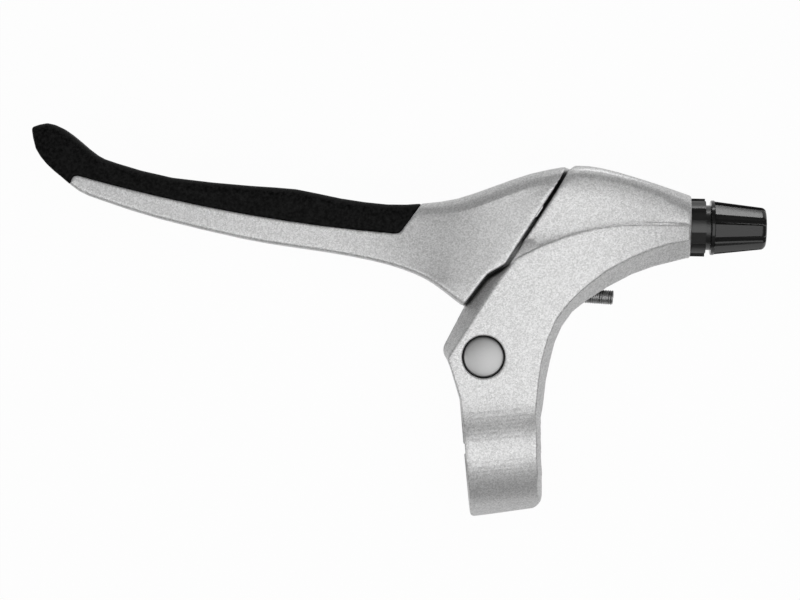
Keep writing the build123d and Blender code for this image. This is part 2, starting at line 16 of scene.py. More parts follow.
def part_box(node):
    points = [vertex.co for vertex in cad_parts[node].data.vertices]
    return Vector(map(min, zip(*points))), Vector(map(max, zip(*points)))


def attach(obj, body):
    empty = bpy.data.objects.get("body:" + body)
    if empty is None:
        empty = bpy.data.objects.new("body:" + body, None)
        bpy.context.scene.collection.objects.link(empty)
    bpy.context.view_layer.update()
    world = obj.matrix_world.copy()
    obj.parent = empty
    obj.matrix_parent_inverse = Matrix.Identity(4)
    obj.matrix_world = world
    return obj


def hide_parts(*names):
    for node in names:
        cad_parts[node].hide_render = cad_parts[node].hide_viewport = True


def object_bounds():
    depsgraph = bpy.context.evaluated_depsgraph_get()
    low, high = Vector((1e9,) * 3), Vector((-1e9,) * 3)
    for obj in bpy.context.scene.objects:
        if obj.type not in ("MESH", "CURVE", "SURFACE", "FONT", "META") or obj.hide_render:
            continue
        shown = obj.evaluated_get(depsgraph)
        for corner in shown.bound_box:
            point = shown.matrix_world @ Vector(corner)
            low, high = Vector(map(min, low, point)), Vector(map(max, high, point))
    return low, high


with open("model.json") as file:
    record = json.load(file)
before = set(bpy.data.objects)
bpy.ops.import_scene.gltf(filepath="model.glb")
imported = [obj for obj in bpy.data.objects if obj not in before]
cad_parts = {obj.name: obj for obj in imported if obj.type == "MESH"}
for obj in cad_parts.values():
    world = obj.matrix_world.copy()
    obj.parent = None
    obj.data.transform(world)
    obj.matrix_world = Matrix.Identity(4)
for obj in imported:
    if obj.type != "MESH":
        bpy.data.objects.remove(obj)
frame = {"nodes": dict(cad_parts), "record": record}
nodes = frame["nodes"]
cad_low, cad_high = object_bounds()
MM = 0.001
print("CAD box in mm:", [round(v / MM, 1) for v in (cad_high - cad_low)])

# %% [markdown]
# The CAD drawing gives a few places that the dressing needs too: the axis of the cable adjuster and that of
# the reach screw. Both lie in the plane of the lever, so a point and an angle say it all.

# %% Axes that the dressing shares with the solids
ADJUSTER_POINT = Vector((45.7, 44.8, 0)) * MM
ADJUSTER_ANGLE = math.radians(-6)
REACH_TIP = Vector((11.6, 33.3, 0)) * MM
REACH_ANGLE = math.radians(-9)
REACH_LENGTH = 16.0 * MM
REACH_RADIUS = 1.65 * MM


def along_axis(point, angle):
    """A matrix that takes +Z to a direction in the XY plane, and the origin to a point."""
    turn = Matrix.Rotation(angle, 4, "Z") @ Matrix.Rotation(math.radians(90), 4, "Y")
    return Matrix.Translation(point) @ turn


print("axes ready")

# %% [markdown]
# Painted castings, moulded rubber and plastic all have a fine unevenness. One shader group makes it: a
# small noise that lightens and darkens the colour, shifts the roughness, and gives a height for a bump.
# Each material places the group with its own sizes.

# %% Shader group: fine grain


def group_socket(group, name, kind, way, value=None):
    socket = group.interface.new_socket(name=name, in_out=way, socket_type=kind)
    if value is not None:
        socket.default_value = value


def node(tree, kind, **settings):
    made = tree.nodes.new(kind)
    for name, value in settings.items():
        setattr(made, name, value)
    return made


def make_fine_grain():
    group = bpy.data.node_groups.new("fine_grain", "ShaderNodeTree")
    group_socket(group, "Vector", "NodeSocketVector", "INPUT")
    group_socket(group, "Color", "NodeSocketColor", "INPUT", (0.5, 0.5, 0.5, 1))
    group_socket(group, "Grain Scale", "NodeSocketFloat", "INPUT", 2000.0)
    group_socket(group, "Color Change", "NodeSocketFloat", "INPUT", 0.1)
    group_socket(group, "Roughness", "NodeSocketFloat", "INPUT", 0.4)
    group_socket(group, "Roughness Change", "NodeSocketFloat", "INPUT", 0.1)
    group_socket(group, "Color", "NodeSocketColor", "OUTPUT")
    group_socket(group, "Roughness", "NodeSocketFloat", "OUTPUT")
    group_socket(group, "Height", "NodeSocketFloat", "OUTPUT")
    entry = node(group, "NodeGroupInput")
    leave = node(group, "NodeGroupOutput")
    noise = node(group, "ShaderNodeTexNoise")
    noise.inputs["Detail"].default_value = 3.0
    noise.inputs["Roughness"].default_value = 0.6
    centred = node(group, "ShaderNodeMath", operation="SUBTRACT")
    centred.inputs[1].default_value = 0.5
    tint = node(group, "ShaderNodeMath", operation="MULTIPLY_ADD")
    tint.inputs[2].default_value = 1.0
    shade = node(group, "ShaderNodeVectorMath", operation="SCALE")
    rough = node(group, "ShaderNodeMath", operation="MULTIPLY_ADD", use_clamp=True)
    link = group.links.new
    link(entry.outputs["Vector"], noise.inputs["Vector"])
    link(entry.outputs["Grain Scale"], noise.inputs["Scale"])
    link(noise.outputs["Fac"], centred.inputs[0])
    link(centred.outputs[0], tint.inputs[0])
    link(entry.outputs["Color Change"], tint.inputs[1])
    link(entry.outputs["Color"], shade.inputs[0])
    link(tint.outputs[0], shade.inputs["Scale"])
    link(centred.outputs[0], rough.inputs[0])
    link(entry.outputs["Roughness Change"], rough.inputs[1])
    link(entry.outputs["Roughness"], rough.inputs[2])
    link(shade.outputs["Vector"], leave.inputs["Color"])
    link(rough.outputs[0], leave.inputs["Roughness"])
    link(noise.outputs["Fac"], leave.inputs["Height"])
    return group


fine_grain = make_fine_grain()
print("group:", fine_grain.name)

# %% [markdown]
# Silver paint for castings holds small flakes of aluminium. Up close each flake catches the light by
# itself, and from arm's length they give a fine sparkle. Cells of a Voronoi texture stand for the flakes:
# each cell has its own brightness and its own small tilt.

# %% Shader group: flakes


def make_flakes():
    group = bpy.data.node_groups.new("flakes", "ShaderNodeTree")
    group_socket(group, "Vector", "NodeSocketVector", "INPUT")
    group_socket(group, "Flake Scale", "NodeSocketFloat", "INPUT", 4000.0)
    group_socket(group, "Mask", "NodeSocketFloat", "OUTPUT")
    group_socket(group, "Height", "NodeSocketFloat", "OUTPUT")
    entry = node(group, "NodeGroupInput")
    leave = node(group, "NodeGroupOutput")
    cells = node(group, "ShaderNodeTexVoronoi", feature="F1")
    cells.inputs["Randomness"].default_value = 1.0
    split = node(group, "ShaderNodeSeparateColor")
    link = group.links.new
    link(entry.outputs["Vector"], cells.inputs["Vector"])
    link(entry.outputs["Flake Scale"], cells.inputs["Scale"])
    link(cells.outputs["Color"], split.inputs["Color"])
    link(split.outputs["Red"], leave.inputs["Mask"])
    link(split.outputs["Green"], leave.inputs["Height"])
    return group


flakes = make_flakes()
print("group:", flakes.name)

# %% [markdown]
# Narrow gaps between castings lie in deep shade, so they look black. The third group paints that shade into
# the colour: it finds such places by how much of the sky a point sees within two millimetres, and darkens
# the colour there.

# %% Shader group: painted shade in crevices


def make_crevice_shade():
    group = bpy.data.node_groups.new("crevice_shade", "ShaderNodeTree")
    group_socket(group, "Color", "NodeSocketColor", "INPUT", (0.5, 0.5, 0.5, 1))
    group_socket(group, "Distance", "NodeSocketFloat", "INPUT", 0.002)
    group_socket(group, "Open From", "NodeSocketFloat", "INPUT", 0.25)
    group_socket(group, "Open To", "NodeSocketFloat", "INPUT", 0.6)
    group_socket(group, "Darkest", "NodeSocketFloat", "INPUT", 0.04)
    group_socket(group, "Color", "NodeSocketColor", "OUTPUT")
    entry = node(group, "NodeGroupInput")
    leave = node(group, "NodeGroupOutput")
    # Painted shade: the less of the sky a point sees nearby, the darker its colour.
    seen = node(group, "ShaderNodeAmbientOcclusion", samples=8)
    level = node(group, "ShaderNodeMapRange", interpolation_type="SMOOTHSTEP")
    level.inputs["To Max"].default_value = 1.0
    shade = node(group, "ShaderNodeVectorMath", operation="SCALE")
    link = group.links.new
    link(entry.outputs["Distance"], seen.inputs["Distance"])
    link(seen.outputs["AO"], level.inputs["Value"])
    link(entry.outputs["Open From"], level.inputs["From Min"])
    link(entry.outputs["Open To"], level.inputs["From Max"])
    link(entry.outputs["Darkest"], level.inputs["To Min"])
    link(entry.outputs["Color"], shade.inputs[0])
    link(level.outputs["Result"], shade.inputs["Scale"])
    link(shade.outputs["Vector"], leave.inputs["Color"])
    return group


crevice_shade = make_crevice_shade()
print("group:", crevice_shade.name)

# %% [markdown]
# Each finish on the lever is one material. They share the same start: Object coordinates, a fine grain, a
# bump and the Principled shader, with what never changes over the surface set on the shader's own sockets.

# %% Start of a material
BUMP_HEIGHT = 0.1 * MM


def start_material(
    name, grey, grain_scale, color_change, roughness, roughness_change, bump, metallic=0.0, specular=0.5
):
    """A grey material with the fine grain, and the nodes that a richer one builds on."""
    material = bpy.data.materials.new(name)
    material.use_nodes = True
    tree = material.node_tree
    shader = tree.nodes["Principled BSDF"]
    place = node(tree, "ShaderNodeTexCoord")
    grain = node(tree, "ShaderNodeGroup", node_tree=fine_grain)
    grain.inputs["Color"].default_value = (grey, grey, grey, 1)
    grain.inputs["Grain Scale"].default_value = grain_scale
    grain.inputs["Color Change"].default_value = color_change
    grain.inputs["Roughness"].default_value = roughness
    grain.inputs["Roughness Change"].default_value = roughness_change
    raised = node(tree, "ShaderNodeBump")
    raised.inputs["Strength"].default_value = bump
    raised.inputs["Distance"].default_value = BUMP_HEIGHT
    shader.inputs["Metallic"].default_value = metallic
    shader.inputs["Specular IOR Level"].default_value = specular
    tree.links.new(place.outputs["Object"], grain.inputs["Vector"])
    tree.links.new(grain.outputs["Color"], shader.inputs["Base Color"])
    tree.links.new(grain.outputs["Roughness"], shader.inputs["Roughness"])
    tree.links.new(grain.outputs["Height"], raised.inputs["Height"])
    tree.links.new(raised.outputs["Normal"], shader.inputs["Normal"])
    return material, {"shader": shader, "place": place, "grain": grain, "raised": raised}


print("materials start with the group", fine_grain.name)

# %% [markdown]
# Silver paint: a mid grey with a metallic share, satin, and the flakes on top of the grain. The flakes
# darken or lighten the colour by up to a quarter and tilt the surface a little, which is what makes them
# sparkle.

# %% Silver paint
FLAKE_HEIGHT = 0.05 * MM


def make_silver_paint():
    material, made = start_material(
        "silver_paint",
        grey=0.6,
        grain_scale=900.0,
        color_change=0.06,
        roughness=0.4,
        roughness_change=0.08,
        bump=0.06,
        metallic=0.45,
    )
    tree = material.node_tree
    shader = made["shader"]
    sparkle = node(tree, "ShaderNodeGroup", node_tree=flakes)
    sparkle.inputs["Flake Scale"].default_value = 4200.0
    spread = node(tree, "ShaderNodeMapRange")
    spread.inputs["To Min"].default_value = 0.76
    spread.inputs["To Max"].default_value = 1.2
    tinted = node(tree, "ShaderNodeVectorMath", operation="SCALE")
    # Painted shade: the crevice group darkens the paint's colour in narrow gaps, where shade falls.
    gap_shade = node(tree, "ShaderNodeGroup", node_tree=crevice_shade)
    tilt = node(tree, "ShaderNodeBump")
    tilt.inputs["Strength"].default_value = 0.12
    tilt.inputs["Distance"].default_value = FLAKE_HEIGHT
    link = tree.links.new
    link(made["place"].outputs["Object"], sparkle.inputs["Vector"])
    link(sparkle.outputs["Mask"], spread.inputs["Value"])
    link(made["grain"].outputs["Color"], tinted.inputs[0])
    link(spread.outputs["Result"], tinted.inputs["Scale"])
    link(tinted.outputs["Vector"], gap_shade.inputs["Color"])
    link(gap_shade.outputs["Color"], shader.inputs["Base Color"])
    link(sparkle.outputs["Height"], tilt.inputs["Height"])
    link(made["raised"].outputs["Normal"], tilt.inputs["Normal"])
    link(tilt.outputs["Normal"], shader.inputs["Normal"])
    return material


silver_paint = make_silver_paint()
print("material:", silver_paint.name)

# %% [markdown]
# The pad is soft black rubber with a suede-like grain. It is rough, so it hardly shines, and its grain is
# coarse enough to see.

# %% Pad rubber
pad_rubber, _ = start_material(
    "pad_rubber",
    grey=0.0055,
    grain_scale=1500.0,
    color_change=7.0,
    roughness=0.6,
    roughness_change=0.3,
    bump=1.0,
    specular=0.07,
)
print("material:", pad_rubber.name)

# %% [markdown]
# The knob is glossy black plastic and the ring beside it satin black metal. Both are nearly black, so what
# shows is the light they mirror.

# %% Black plastic and black metal
black_plastic, _ = start_material(
    "black_plastic",
    grey=0.012,
    grain_scale=1500.0,
    color_change=0.3,
    roughness=0.16,
    roughness_change=0.08,
    bump=0.02,
    specular=0.3,
)
black_metal, _ = start_material(
    "black_metal",
    grey=0.014,
    grain_scale=2500.0,
    color_change=0.4,
    roughness=0.3,
    roughness_change=0.12,
    bump=0.05,
)
print("materials:", black_plastic.name, black_metal.name)

# %% [markdown]
# Screws and the pivot pin are plated steel, and the bushes in the pivot a dull dark polymer.

# %% Steel and polymer
bright_steel, _ = start_material(
    "bright_steel",
    grey=0.33,
    grain_scale=3000.0,
    color_change=0.12,
    roughness=0.42,
    roughness_change=0.1,
    bump=0.05,
    metallic=1.0,
)
bush_polymer, _ = start_material(
    "bush_polymer",
    grey=0.1,
    grain_scale=2200.0,
    color_change=0.3,
    roughness=0.5,
    roughness_change=0.15,
    bump=0.1,
)
print("materials:", bright_steel.name, bush_polymer.name)

# %% [markdown]
# Each solid already knows its slot in the record, so a small table of slot and material dresses them all.

# %% Dress the solids
finishes = {
    "silver_paint": silver_paint,
    "pad_rubber": pad_rubber,
    "black_plastic": black_plastic,
    "black_metal": black_metal,
    "bright_steel": bright_steel,
    "bush_polymer": bush_polymer,
}
for part in frame["record"]["subparts"]:
    solid = nodes[part["node"]]
    solid.data.materials.clear()
    solid.data.materials.append(finishes[part["material_slot"]])

# %% [markdown]
# Three helpers serve every new piece. One finds the body that carries a solid. One puts a finished piece on
# its body and in place of its solid. The last turns modifiers into a plain mesh.

# %% Helpers for new pieces


def body_of_node(name):
    for body, members in frame["record"]["behaviour"]["bodies"].items():
        if name in members:
            return body


def settle(piece, body, replaced):
    """Puts a finished piece on its body, in place of a solid."""
    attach(piece, body)
    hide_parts(replaced)


def plain_mesh(maker, name):
    """Turns an object with live modifiers into a new object with a plain mesh, and removes the maker."""
    graph = bpy.context.evaluated_depsgraph_get()
    mesh = bpy.data.meshes.new_from_object(maker.evaluated_get(graph))
    mesh.name = name
    data = maker.data
    bpy.data.objects.remove(maker)
    bpy.data.meshes.remove(data)
    piece = bpy.data.objects.new(name, mesh)
    bpy.context.scene.collection.objects.link(piece)
    return piece


print("helpers ready")

# %% [markdown]
# The solids' broad faces are ruled strips that meet in faint folds. On a skin, each point of a face that
# looks up or down takes the mean height of its neighbours, over and over, so the folds fade while outlines
# and edges stay.

# %% Fading the folds
LEVEL_FROM = 0.87
LEVEL_TO = 0.96
LEVEL_MARGIN = 5


def even_heights(mesh, rounds):
    """Fades the folds in faces that look up or down, and leaves the points near steeper faces alone."""
    count = len(mesh.vertices)
    places = np.empty(3 * count)
    normals = np.empty(3 * count)
    ends = np.empty(2 * len(mesh.edges), dtype=np.int64)
    mesh.vertices.foreach_get("co", places)
    mesh.vertices.foreach_get("normal", normals)
    mesh.edges.foreach_get("vertices", ends)
    one, other = ends.reshape(-1, 2).T
    share = np.clip((np.abs(normals[2::3]) - LEVEL_FROM) / (LEVEL_TO - LEVEL_FROM), 0, 1)
    for _ in range(LEVEL_MARGIN):
        lowest = share.copy()
        np.minimum.at(lowest, one, share[other])
        np.minimum.at(lowest, other, share[one])
        share = lowest
    neighbours = np.bincount(ends, minlength=count)
    heights = places[2::3].copy()
    for _ in range(rounds):
        total = np.bincount(one, heights[other], count) + np.bincount(other, heights[one], count)
        heights += share * (total / neighbours - heights)
    places[2::3] = heights
    mesh.vertices.foreach_set("co", places)
    mesh.update()


print("folds fade where a face looks up by", LEVEL_FROM, "or more")

# %% [markdown]
# Where the nose panel runs out between the gap and the arm it ends in a thin point. The solid stops short
# of it, so a small wedge completes it on the skin, and the panel is drawn up to a fine step below the arm's
# face along the crease. These places are in millimetres.

# %% Point of the nose panel
ARM_FACE = 11.6
BOW_START = 9.5
BOW_RADIUS = 146.0
CREASE_X = (5.2, 6.4, 16.4, 24.9, 33.2, 45.4)
CREASE_Y = (40.2, 41.2, 44.8, 46.4, 46.5, 45.2)
CREASE_STEP = 0.3
PANEL_REACH = 9.0
PANEL_FLOOR = 7.2
PANEL_BLEND = 1.5
WEDGE_TOP = (
    (5.2, 40.2, 11.2),
    (9.0, 45.1, 10.1),
    (11.2, 44.6, 10.3),
    (11.2, 42.6, 11.2),
    (6.6, 40.7, 11.2),
)
WEDGE_FOOT = 7.1


def add_wedge(solid, side):
    """The point of the nose panel: a small prism with a sloping top, on the upper or the lower face."""
    top = [solid.verts.new((x * MM, y * MM, side * z * MM)) for x, y, z in WEDGE_TOP]
    foot = [solid.verts.new((x * MM, y * MM, side * WEDGE_FOOT * MM)) for x, y, z in WEDGE_TOP]
    last = len(top) - 1
    faces = [solid.faces.new((top[0], top[step], top[step + 1])) for step in range(1, last)]
    faces.append(solid.faces.new(foot))
    for step in range(-1, last):
        faces.append(solid.faces.new((top[step], foot[step], foot[step + 1], top[step + 1])))
    bmesh.ops.recalc_face_normals(solid, faces=faces)


def raise_panel(mesh):
    """Draws the panel up towards the arm's face, fully at the crease and less with the distance from it."""
    places = np.empty(3 * len(mesh.vertices))
    mesh.vertices.foreach_get("co", places)
    x, y, z = places.reshape(-1, 3).T / MM
    height = np.abs(z)
    beyond = np.clip(x - BOW_START, 0, None)
    top = ARM_FACE - BOW_RADIUS + np.sqrt(BOW_RADIUS**2 - beyond**2) - CREASE_STEP
    away = y - np.interp(x, CREASE_X, CREASE_Y)
    share = np.clip(1 - away / PANEL_REACH, 0, 1) ** 2
    share *= np.clip((height - PANEL_FLOOR) / PANEL_BLEND, 0, 1)
    chosen = (away > 0) & (x > CREASE_X[0]) & (height < top)
    lift = np.where(chosen, share * (top - height), 0)
    places[2::3] += np.sign(z) * lift * MM
    mesh.vertices.foreach_set("co", places)
    mesh.update()


print("crease from X", CREASE_X[0], "to", CREASE_X[-1], "mm")

# %% [markdown]
# A cast and painted edge is never sharp: the mould rounds it and the paint fills it. The castings and the
# rubber pad therefore get a skin of their own. A copy of each solid is welded, remeshed into small even
# quads and smoothed, which rounds every edge by a few tenths of a millimetre and leaves the form as it was.
# Bevels on each edge could do the same, but a boolean solid has too many short edges for them.

# %% Skins for the castings and the pad
SKIN_STEP = 0.24 * MM
SKIN_ROUNDS = 6
LEVEL_ROUNDS = {"bracket": 140, "lever_blade": 1800, "grip_pad": 0}
SKIN_LIMIT = 180000
WELD_DISTANCE = 0.001 * MM


def make_skin(name):
    mesh = nodes[name].data.copy()
    welded = bmesh.new()
    welded.from_mesh(mesh)
    bmesh.ops.remove_doubles(welded, verts=welded.verts, dist=WELD_DISTANCE)
    if name == "bracket":
        add_wedge(welded, 1)
        add_wedge(welded, -1)
    welded.to_mesh(mesh)
    welded.free()
    maker = bpy.data.objects.new(name + "_maker", mesh)
    bpy.context.scene.collection.objects.link(maker)
    quads = maker.modifiers.new("even quads", "REMESH")
    quads.mode = "VOXEL"
    quads.voxel_size = SKIN_STEP
    quads.use_smooth_shade = True
    soften = maker.modifiers.new("soft edges", "SMOOTH")
    soften.factor = 0.5
    soften.iterations = SKIN_ROUNDS
    piece = plain_mesh(maker, name + "_skin")
    if name == "bracket":
        raise_panel(piece.data)
    even_heights(piece.data, LEVEL_ROUNDS[name])
    triangles = 2 * len(piece.data.polygons)
    if triangles > SKIN_LIMIT:
        thin = piece.modifiers.new("fewer faces", "DECIMATE")
        thin.ratio = SKIN_LIMIT / triangles
        piece = plain_mesh(piece, name + "_skin")
    for polygon in piece.data.polygons:
        polygon.use_smooth = True
    return piece


for part in frame["record"]["subparts"]:
    if part["node"] in LEVEL_ROUNDS:
        skin = make_skin(part["node"])
        skin.data.materials.clear()
        skin.data.materials.append(finishes[part["material_slot"]])
        settle(skin, body_of_node(part["node"]), part["node"])
        print(skin.name, len(skin.data.polygons), "faces")

# %% [markdown]
# The pivot pin was turned on a lathe, so its skin is a profile spun round its axis: the domed head with a
# small rounded edge, and the plain shank below it.

# %% Turned pin
PIVOT = Vector((-2.4, 20.4, 0)) * MM
TURN_STEPS = 96
SHARP_FROM = math.radians(25)


def lathe(name, profile, place, steps=TURN_STEPS, flute=None):
    """Spins a profile of (radius, height) points from axis to axis.

    With flute, a function of the angle, the profile is closed and each point adds its share of the flutes.
    """
    spun = bmesh.new()
    rings = []
    for radius, height, *share in profile:
        if radius == 0:
            rings.append([spun.verts.new((0, 0, height))])
            continue
        ring = []
        for step in range(steps):
            angle = 2 * math.pi * step / steps
            reach = radius * (1 - share[0] * flute(angle)) if flute else radius
            ring.append(spun.verts.new((reach * math.cos(angle), reach * math.sin(angle), height)))
        rings.append(ring)
    if flute:
        rings.append(rings[0])
    for lower, upper in zip(rings, rings[1:]):
        for step in range(steps):
            after = step + 1
            corners = [lower[step % len(lower)], lower[after % len(lower)]]
            corners += [upper[after % len(upper)], upper[step % len(upper)]]
            face = list(dict.fromkeys(corners))
            if len(face) > 2:
                spun.faces.new(face)
    bmesh.ops.recalc_face_normals(spun, faces=spun.faces)
    mesh = bpy.data.meshes.new(name)
    spun.to_mesh(mesh)
    spun.free()
    mesh.transform(place)
    mesh.shade_smooth()
    mesh.set_sharp_from_angle(angle=SHARP_FROM)
    piece = bpy.data.objects.new(name, mesh)
    bpy.context.scene.collection.objects.link(piece)
    return piece


PIN_HEAD = 4.45 * MM
PIN_SHANK = 3.0 * MM
PIN_SEAT = 10.2 * MM
PIN_EDGE = 1.1 * MM
PIN_DOME = 0.45 * MM
PIN_ROUND = 0.25 * MM
DOME_STEPS = 14
DOME_POWER = 8
pin_low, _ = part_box("pivot_pin")
dome_foot = PIN_SEAT + PIN_EDGE
pin_profile = [(0, pin_low.z), (PIN_SHANK - PIN_ROUND, pin_low.z), (PIN_SHANK, pin_low.z + PIN_ROUND)]
pin_profile += [(PIN_SHANK, PIN_SEAT), (PIN_HEAD, PIN_SEAT), (PIN_HEAD, dome_foot - PIN_ROUND)]
for step in range(DOME_STEPS):
    share = 1 - step / DOME_STEPS
    radius = (PIN_HEAD - PIN_ROUND * share**DOME_POWER) * share
    pin_profile.append((radius, dome_foot + PIN_DOME * (1 - share**2)))
pin_profile.append((0, dome_foot + PIN_DOME))
pin_skin = lathe("pivot_pin_skin", pin_profile, Matrix.Translation(PIVOT))
pin_skin.data.materials.append(bright_steel)
settle(pin_skin, "bracket_body", "pivot_pin")
print(pin_skin.name, len(pin_skin.data.polygons), "faces")

# %% [markdown]
# The adjuster's knob is moulded: seven broad flat ribs with narrow grooves between them, which run out
# towards the end. The same lathe makes it, with a share of the flutes at each point of its profile.

# %% Fluted knob
RIBS = 7
RIB_PERIOD = 2 * math.pi / RIBS
RIB_ANGLE = math.radians(188)
RIB_HALF = math.radians(15)
GROOVE_DEPTH = 0.14
GROOVE_STEEPNESS = 1.8
KNOB_STEPS = 24 * RIBS
KNOB_LARGE = 6.05 * MM
KNOB_SMALL = 4.7 * MM
KNOB_LENGTH = 12.3 * MM
KNOB_COLLAR = 0.9 * MM
KNOB_ROUND = 1.2 * MM
KNOB_EDGE = 0.15 * MM
KNOB_BORE = 3.75 * MM
KNOB_LIP = 2.0 * MM
KNOB_LIP_HOLE = 3.3 * MM
ROUND_STEPS = 5
TAIL_SHARE = 0.75


def rib_and_groove(angle):
    """How far the knob's surface lies below its full radius at an angle, as a share of that radius."""
    from_rib = abs((angle - RIB_ANGLE + RIB_PERIOD / 2) % RIB_PERIOD - RIB_PERIOD / 2)
    if from_rib <= RIB_HALF:
        return 1 - math.cos(RIB_HALF) / math.cos(from_rib)
    across = (from_rib - RIB_HALF) / (RIB_PERIOD / 2 - RIB_HALF)
    return GROOVE_DEPTH * math.sin(min(1, GROOVE_STEEPNESS * across) * math.pi / 2)


adjuster_place = along_axis(ADJUSTER_POINT, ADJUSTER_ANGLE)
to_adjuster = adjuster_place.inverted() @ nodes["adjuster_knob"].matrix_world
knob_start = min((to_adjuster @ vertex.co).z for vertex in nodes["adjuster_knob"].data.vertices)
knob_profile = [(KNOB_LARGE - KNOB_EDGE, 0, 0), (KNOB_LARGE, KNOB_EDGE, 0)]
knob_profile += [(KNOB_LARGE, KNOB_COLLAR - KNOB_EDGE, 0), (KNOB_LARGE - KNOB_EDGE, KNOB_COLLAR, 1)]
knob_profile += [(KNOB_SMALL, KNOB_LENGTH - KNOB_ROUND, TAIL_SHARE)]
for step in range(1, ROUND_STEPS + 1):
    turn = math.pi / 2 * step / ROUND_STEPS
    radius = KNOB_SMALL - KNOB_ROUND * (1 - math.cos(turn))
    height = KNOB_LENGTH - KNOB_ROUND * (1 - math.sin(turn))
    knob_profile.append((radius, height, TAIL_SHARE * math.cos(turn)))
knob_profile += [(KNOB_LIP_HOLE, KNOB_LENGTH, 0), (KNOB_LIP_HOLE, KNOB_LENGTH - KNOB_LIP, 0)]
knob_profile += [(KNOB_BORE, KNOB_LENGTH - KNOB_LIP, 0), (KNOB_BORE, 0, 0)]
knob_place = adjuster_place @ Matrix.Translation((0, 0, knob_start))
knob_skin = lathe("adjuster_knob_skin", knob_profile, knob_place, KNOB_STEPS, rib_and_groove)
knob_skin.data.materials.append(black_plastic)
settle(knob_skin, "knob_body", "adjuster_knob")
print(knob_skin.name, len(knob_skin.data.polygons), "faces, starts at", round(knob_start / MM, 2), "mm")

# %% [markdown]
# The reach screw is a small headless screw whose thread shows against the white. Geometry Nodes wind the
# thread: a spiral curve carries a four-sided profile along it, over a plain core. Pitch, radii and length
# are inputs of the tree.

# %% Thread by Geometry Nodes


def make_thread_tree():
    tree = bpy.data.node_groups.new("wound_thread", "GeometryNodeTree")
    group_socket(tree, "Geometry", "NodeSocketGeometry", "INPUT")
    for name, value in (("Radius", 1.5 * MM), ("Depth", 0.25 * MM), ("Length", 16 * MM), ("Turns", 30.0)):
        group_socket(tree, name, "NodeSocketFloat", "INPUT", value)
    group_socket(tree, "Material", "NodeSocketMaterial", "INPUT")
    group_socket(tree, "Geometry", "NodeSocketGeometry", "OUTPUT")
    entry = node(tree, "NodeGroupInput")
    leave = node(tree, "NodeGroupOutput")
    core_radius = node(tree, "ShaderNodeMath", operation="SUBTRACT")
    core = node(tree, "GeometryNodeMeshCylinder", fill_type="NGON")
    core.inputs["Vertices"].default_value = 32
    lift = node(tree, "ShaderNodeMath", operation="MULTIPLY")
    lift.inputs[1].default_value = 0.5
    middle = node(tree, "ShaderNodeCombineXYZ")
    raised = node(tree, "GeometryNodeTransform")
    spiral = node(tree, "GeometryNodeCurveSpiral")
    spiral.inputs["Resolution"].default_value = 24
    ridge = node(tree, "GeometryNodeCurvePrimitiveCircle", mode="RADIUS")
    ridge.inputs["Resolution"].default_value = 4
    wound = node(tree, "GeometryNodeCurveToMesh")
    wound.inputs["Fill Caps"].default_value = True
    both = node(tree, "GeometryNodeJoinGeometry")
    real = node(tree, "GeometryNodeRealizeInstances")
    finish = node(tree, "GeometryNodeSetMaterial")
    link = tree.links.new
    link(entry.outputs["Radius"], core_radius.inputs[0])
    link(entry.outputs["Depth"], core_radius.inputs[1])
    link(core_radius.outputs[0], core.inputs["Radius"])
    link(entry.outputs["Length"], core.inputs["Depth"])
    link(entry.outputs["Length"], lift.inputs[0])
    link(lift.outputs[0], middle.inputs["Z"])
    link(core.outputs["Mesh"], raised.inputs["Geometry"])
    link(middle.outputs["Vector"], raised.inputs["Translation"])
    link(entry.outputs["Turns"], spiral.inputs["Rotations"])
    link(core_radius.outputs[0], spiral.inputs["Start Radius"])
    link(core_radius.outputs[0], spiral.inputs["End Radius"])
    link(entry.outputs["Length"], spiral.inputs["Height"])
    link(entry.outputs["Depth"], ridge.inputs["Radius"])
    link(spiral.outputs["Curve"], wound.inputs["Curve"])
    link(ridge.outputs["Curve"], wound.inputs["Profile Curve"])
    link(raised.outputs["Geometry"], both.inputs["Geometry"])
    link(wound.outputs["Mesh"], both.inputs["Geometry"])
    link(both.outputs["Geometry"], real.inputs["Geometry"])
    link(real.outputs["Geometry"], finish.inputs["Geometry"])
    link(entry.outputs["Material"], finish.inputs["Material"])
    link(finish.outputs["Geometry"], leave.inputs["Geometry"])
    return tree


wound_thread = make_thread_tree()


def threaded_rod(name, radius, depth, length, turns, material, place):
    maker = bpy.data.objects.new(name + "_maker", bpy.data.meshes.new(name + "_maker"))
    bpy.context.scene.collection.objects.link(maker)
    winding = maker.modifiers.new("thread", "NODES")
    winding.node_group = wound_thread
    values = {"Radius": radius, "Depth": depth, "Length": length, "Turns": turns, "Material": material}
    for item in wound_thread.interface.items_tree:
        if item.in_out == "INPUT" and item.name in values:
            winding[item.identifier] = values[item.name]
    rod = plain_mesh(maker, name)
    rod.data.transform(place)
    return rod


REACH_PITCH = 0.5 * MM
REACH_DEPTH = 0.24 * MM
reach_rod = threaded_rod(
    "reach_screw_thread",
    REACH_RADIUS,
    REACH_DEPTH,
    REACH_LENGTH,
    REACH_LENGTH / REACH_PITCH,
    bright_steel,
    along_axis(REACH_TIP, REACH_ANGLE),
)
settle(reach_rod, "reach_body", "reach_screw")
print(reach_rod.name, len(reach_rod.data.polygons), "faces")

# %% [markdown]
# The floor is a large pale sheet just under the lowest point. Most of what the camera sees of it is plain
# white, and a share of its own shading stays, so that the lever keeps a faint shadow.

# %% Floor
FLOOR_HALF = 3.0
FLOOR_HEIGHT = cad_low.z - 0.2 * MM
FLOOR_WHITE_SHARE = 0.97
FLOOR_GREY = 0.7


